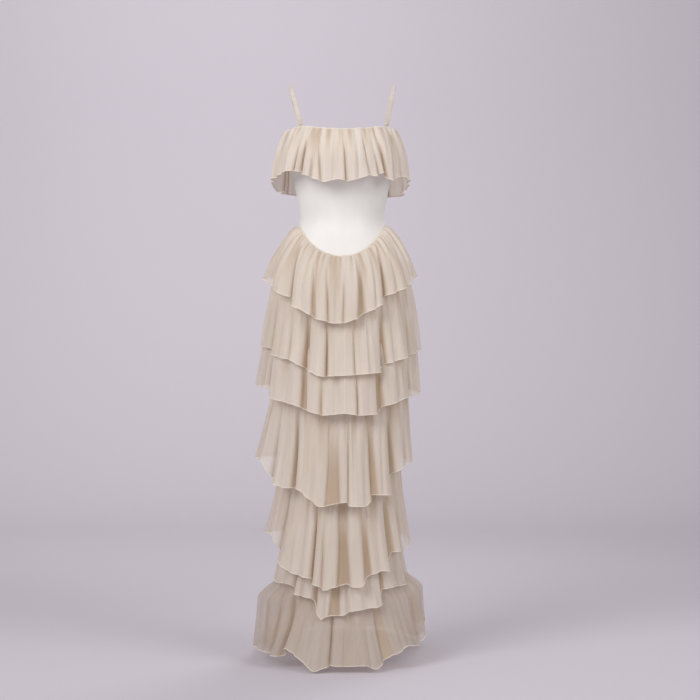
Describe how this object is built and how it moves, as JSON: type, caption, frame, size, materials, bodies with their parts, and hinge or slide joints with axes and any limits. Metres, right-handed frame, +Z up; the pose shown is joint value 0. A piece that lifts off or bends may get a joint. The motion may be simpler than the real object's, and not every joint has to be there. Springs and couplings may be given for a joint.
{
  "type": "maxi dress",
  "caption": "Floor-length sleeveless dress with a flounce at the bust, fitted bodice, dipped waist seam, gathered chiffon tiers and a short train, held up by narrow straps",
  "frame": {"origin": "midway between the tops of the two shoulder straps, on the line that the shoulders would carry", "axes": "+Z up along the body, +X to the right as the dress is seen from the front, which is the wearer's left; the front faces -Y and the train runs out towards +Y"},
  "size_m": [0.4374, 0.6869, 1.4318],
  "materials": {
    "chiffon": "sheer crinkled chiffon, warm ivory, matt with a faint sheen",
    "jersey": "smooth fine stretch knit, soft white, matt"
  },
  "bodies": {
    "root": {"bodice_front": "jersey", "bodice_back": "jersey", "strap_left": "chiffon", "strap_right": "chiffon", "bust_flounce_front": "chiffon", "bust_flounce_back": "chiffon", "tier_1_front": "chiffon", "tier_1_back": "chiffon", "tier_2_front": "chiffon", "tier_2_back": "chiffon", "tier_3_front": "chiffon", "tier_3_back": "chiffon", "tier_4_front": "chiffon", "tier_4_back": "chiffon", "tier_5_front": "chiffon", "tier_5_back": "chiffon", "tier_6_front": "chiffon", "tier_6_back": "chiffon", "tier_7_front": "chiffon", "tier_7_back": "chiffon", "underskirt_front": "chiffon", "underskirt_back": "chiffon"}
  },
  "joints": []
}
